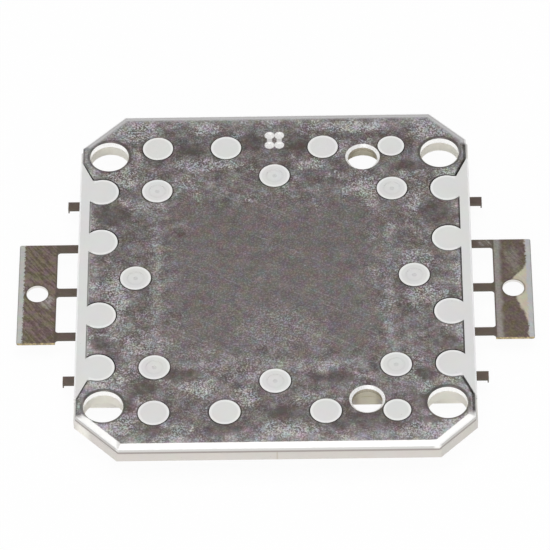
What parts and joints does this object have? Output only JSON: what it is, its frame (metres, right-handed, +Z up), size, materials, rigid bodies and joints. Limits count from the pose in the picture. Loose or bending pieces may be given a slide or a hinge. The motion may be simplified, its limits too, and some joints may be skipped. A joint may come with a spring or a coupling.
{
  "type": "cob led",
  "caption": "Flat chip-on-board light module: cut-corner metal heat slug locked into a plastic housing, side solder tabs, and a square light window beneath.",
  "frame": {"origin": "middle of the light window's rim, on the surface that the module lies on", "axes": "+Z up through the heat slug's mounting face; X from lead to lead, with the two locating holes on the +X side; Y along the slug's long sides"},
  "size_m": [0.0522, 0.0448, 0.0042],
  "materials": {
    "plated_slug": "dull nickel or silver plating on copper, scuffed and mottled",
    "white_plastic": "moulded, fine matte",
    "plated_lead": "tarnished plating on copper sheet, fine scratches",
    "die_attach": "cured adhesive",
    "led_chip": "polished crystal",
    "bond_wire": "bright drawn gold wire",
    "phosphor": "cast silicone, smooth satin"
  },
  "bodies": {
    "root": {"heat_slug": "plated_slug", "housing": "white_plastic", "lead_left": "plated_lead", "lead_right": "plated_lead", "die_attach_string_1": "die_attach", "die_attach_string_2": "die_attach", "die_attach_string_3": "die_attach", "die_attach_string_4": "die_attach", "die_attach_string_5": "die_attach", "led_chips_string_1": "led_chip", "led_chips_string_2": "led_chip", "led_chips_string_3": "led_chip", "led_chips_string_4": "led_chip", "led_chips_string_5": "led_chip", "bond_wires_string_1": "bond_wire", "bond_wires_string_2": "bond_wire", "bond_wires_string_3": "bond_wire", "bond_wires_string_4": "bond_wire", "bond_wires_string_5": "bond_wire", "phosphor_encapsulant": "phosphor"}
  },
  "joints": []
}
